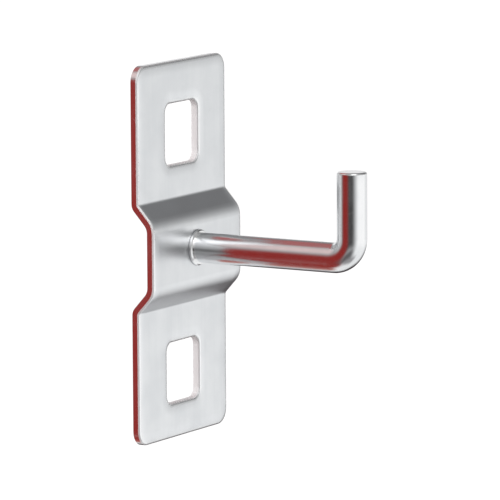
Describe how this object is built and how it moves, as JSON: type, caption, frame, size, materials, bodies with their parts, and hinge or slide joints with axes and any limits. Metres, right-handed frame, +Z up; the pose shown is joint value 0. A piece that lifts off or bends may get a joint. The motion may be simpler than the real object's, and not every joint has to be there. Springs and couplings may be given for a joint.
{
  "type": "pegboard hook",
  "caption": "Hook for a tool panel: a round bar bent up at its end, riveted to a folded steel back plate with a raised middle and square slots for clips or screws.",
  "frame": {"origin": "middle of the two square slots, on the wall plane that the flanges' back faces lie in", "axes": "+Z up along the plate, +X across the plate, -Y out from the wall along the hook's arm; the wall plane is Y = 0"},
  "size_m": [0.027, 0.0344, 0.06],
  "materials": {
    "zinc_sheet": "bright zinc plate on steel sheet, satin",
    "zinc_bar": "bright zinc plate on drawn steel bar, semi-gloss"
  },
  "bodies": {
    "root": {"back_plate": "zinc_sheet", "hook_rod": "zinc_bar"}
  },
  "joints": []
}
